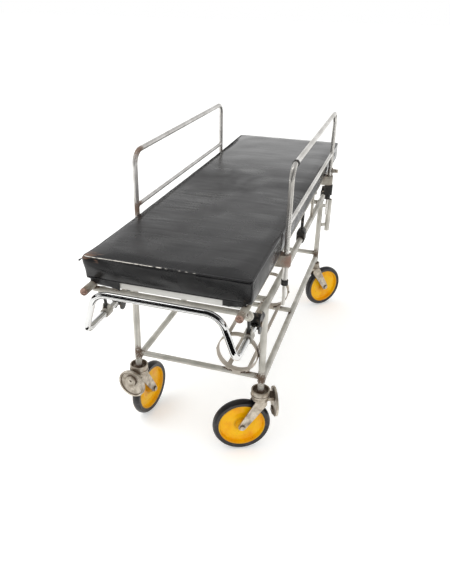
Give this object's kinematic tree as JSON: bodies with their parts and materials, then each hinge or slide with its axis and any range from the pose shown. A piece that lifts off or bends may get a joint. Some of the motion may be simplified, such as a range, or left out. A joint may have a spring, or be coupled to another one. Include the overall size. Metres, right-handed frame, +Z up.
{
  "type": "patient trolley",
  "caption": "Hospital patient trolley: tube frame on braked swivel castors, padded top, drop-down cot sides, folding push handles and a gas cylinder cradle.",
  "frame": {"origin": "on the floor, under the middle of the trolley", "axes": "+X to the trolley's right as seen from its front, +Y along its length to the rear, +Z up"},
  "size_m": [0.7712, 2.0102, 1.121],
  "materials": {
    "frame_paint": "silver-grey paint, worn",
    "deck_paint": "plywood, painted light grey",
    "strip_paint": "light grey paint",
    "cradle_paint": "grey paint, worn",
    "satin_chrome": "worn chrome plate",
    "bright_chrome": "bright chrome plate",
    "zinc_plate": "dull zinc plate",
    "bare_steel": "bare steel, tarnished",
    "cast_alloy": "sand-cast",
    "black_enamel": "black enamel",
    "black_rubber": "matt",
    "end_plug": "faded",
    "knob_plastic": "light grey ball on a black stem",
    "yellow_paint": "yellow gloss paint",
    "tyre_rubber": "matt",
    "vinyl": "black vinyl-coated fabric"
  },
  "bodies": {
    "base": {"front_legs": "frame_paint", "handle_brackets_front": "black_enamel", "rear_legs": "frame_paint", "handle_brackets_rear": "black_enamel", "upper_rail_left": "frame_paint", "lower_rail_left": "frame_paint", "pole_left": "frame_paint", "cot_sockets_left": "bare_steel", "upper_rail_right": "frame_paint", "lower_rail_right": "frame_paint", "pole_right": "frame_paint", "cot_sockets_right": "bare_steel", "base_crossbars": "frame_paint", "drip_pole_socket": "frame_paint", "deck_crossbars": "frame_paint", "cylinder_ring_front": "cradle_paint", "cylinder_ring_rear": "cradle_paint", "cradle_bars": "cradle_paint", "pole_pillars": "bare_steel", "middle_rests": "black_enamel", "pole_end_plugs": "end_plug", "deck_board": "deck_paint", "deck_end_strips": "strip_paint", "mattress": "vinyl", "handle_bolts": "zinc_plate", "castor_heads": "zinc_plate"},
    "cot_side_left": {"cot_frame_left": "satin_chrome", "cot_lower_bar_left": "satin_chrome", "cot_ferrules_left": "black_rubber"},
    "latch_left": {"latch_plunger_left": "zinc_plate"},
    "cot_side_right": {"cot_frame_right": "satin_chrome", "cot_lower_bar_right": "satin_chrome", "cot_ferrules_right": "black_rubber"},
    "latch_right": {"latch_plunger_right": "zinc_plate"},
    "handle_front": {"push_handle_front": "bright_chrome", "handle_collars_front": "cast_alloy"},
    "lever_front_left": {"lock_lever_front_left": "knob_plastic"},
    "lever_front_right": {"lock_lever_front_right": "knob_plastic"},
    "handle_rear": {"push_handle_rear": "bright_chrome", "handle_collars_rear": "cast_alloy"},
    "lever_rear_left": {"lock_lever_rear_left": "knob_plastic"},
    "lever_rear_right": {"lock_lever_rear_right": "knob_plastic"},
    "castor_front_left": {"castor_fork_front_left": "zinc_plate", "axle_front_left": "zinc_plate"},
    "wheel_front_left": {"wheel_centre_front_left": "yellow_paint", "tyre_front_left": "tyre_rubber"},
    "brake_front_left": {"brake_pedal_front_left": "zinc_plate"},
    "castor_front_right": {"castor_fork_front_right": "zinc_plate", "axle_front_right": "zinc_plate"},
    "wheel_front_right": {"wheel_centre_front_right": "yellow_paint", "tyre_front_right": "tyre_rubber"},
    "brake_front_right": {"brake_pedal_front_right": "zinc_plate"},
    "castor_rear_left": {"castor_fork_rear_left": "zinc_plate", "axle_rear_left": "zinc_plate"},
    "wheel_rear_left": {"wheel_centre_rear_left": "yellow_paint", "tyre_rear_left": "tyre_rubber"},
    "castor_rear_right": {"castor_fork_rear_right": "zinc_plate", "axle_rear_right": "zinc_plate"},
    "wheel_rear_right": {"wheel_centre_rear_right": "yellow_paint", "tyre_rear_right": "tyre_rubber"}
  },
  "joints": [
    {"name": "cot_side_left_slide", "type": "slide", "parent": "base", "child": "cot_side_left", "axis": [0, 0, 1], "range_m": [-0.095, 0]},
    {"name": "latch_left_pull", "type": "slide", "parent": "base", "child": "latch_left", "axis": [-1, 0, 0], "range_m": [0, 0.008], "stiffness_N_per_m": 400},
    {"name": "cot_side_right_slide", "type": "slide", "parent": "base", "child": "cot_side_right", "axis": [0, 0, 1], "range_m": [-0.095, 0]},
    {"name": "latch_right_pull", "type": "slide", "parent": "base", "child": "latch_right", "axis": [1, 0, 0], "range_m": [0, 0.008], "stiffness_N_per_m": 400},
    {"name": "handle_front_fold", "type": "hinge", "parent": "base", "child": "handle_front", "pos_m": [0, -0.744, 0.64], "axis": [1, 0, 0], "range_deg": [0, 90]},
    {"name": "lever_front_left_release", "type": "hinge", "parent": "handle_front", "child": "lever_front_left", "pos_m": [-0.255, -0.837, 0.6641], "axis": [-1, 0, 0], "range_deg": [0, 20], "stiffness_Nm_per_rad": 2},
    {"name": "lever_front_right_release", "type": "hinge", "parent": "handle_front", "child": "lever_front_right", "pos_m": [0.255, -0.837, 0.6641], "axis": [-1, 0, 0], "range_deg": [0, 20], "stiffness_Nm_per_rad": 2},
    {"name": "handle_rear_fold", "type": "hinge", "parent": "base", "child": "handle_rear", "pos_m": [0, 0.744, 0.64], "axis": [-1, 0, 0], "range_deg": [0, 90]},
    {"name": "lever_rear_left_release", "type": "hinge", "parent": "handle_rear", "child": "lever_rear_left", "pos_m": [-0.255, 0.837, 0.6641], "axis": [1, 0, 0], "range_deg": [0, 20], "stiffness_Nm_per_rad": 2},
    {"name": "lever_rear_right_release", "type": "hinge", "parent": "handle_rear", "child": "lever_rear_right", "pos_m": [0.255, 0.837, 0.6641], "axis": [1, 0, 0], "range_deg": [0, 20], "stiffness_Nm_per_rad": 2},
    {"name": "castor_front_left_swivel", "type": "hinge", "parent": "base", "child": "castor_front_left", "pos_m": [-0.255, -0.613, 0.25], "axis": [0, 0, 1], "continuous": true},
    {"name": "wheel_front_left_spin", "type": "hinge", "parent": "castor_front_left", "child": "wheel_front_left", "pos_m": [-0.24586, -0.5436, 0.1143], "axis": [-0.9914, 0.1305, 0], "continuous": true},
    {"name": "brake_front_left_press", "type": "hinge", "parent": "castor_front_left", "child": "brake_front_left", "pos_m": [-0.26074, -0.65662, 0.2395], "axis": [0.9914, -0.1305, 0], "range_deg": [0, 8]},
    {"name": "castor_front_right_swivel", "type": "hinge", "parent": "base", "child": "castor_front_right", "pos_m": [0.255, -0.613, 0.25], "axis": [0, 0, 1], "continuous": true},
    {"name": "wheel_front_right_spin", "type": "hinge", "parent": "castor_front_right", "child": "wheel_front_right", "pos_m": [0.19156, -0.64258, 0.1143], "axis": [0.4226, -0.9063, 0], "continuous": true},
    {"name": "brake_front_right_press", "type": "hinge", "parent": "castor_front_right", "child": "brake_front_right", "pos_m": [0.29488, -0.5944, 0.2395], "axis": [-0.4226, 0.9063, 0], "range_deg": [0, 8]},
    {"name": "castor_rear_left_swivel", "type": "hinge", "parent": "base", "child": "castor_rear_left", "pos_m": [-0.255, 0.613, 0.25], "axis": [0, 0, 1], "continuous": true},
    {"name": "wheel_rear_left_spin", "type": "hinge", "parent": "castor_rear_left", "child": "wheel_rear_left", "pos_m": [-0.30184, 0.66502, 0.1143], "axis": [-0.7431, -0.6691, 0], "continuous": true},
    {"name": "castor_rear_right_swivel", "type": "hinge", "parent": "base", "child": "castor_rear_right", "pos_m": [0.255, 0.613, 0.25], "axis": [0, 0, 1], "continuous": true},
    {"name": "wheel_rear_right_spin", "type": "hinge", "parent": "castor_rear_right", "child": "wheel_rear_right", "pos_m": [0.30184, 0.66502, 0.1143], "axis": [-0.7431, 0.6691, 0], "continuous": true}
  ]
}
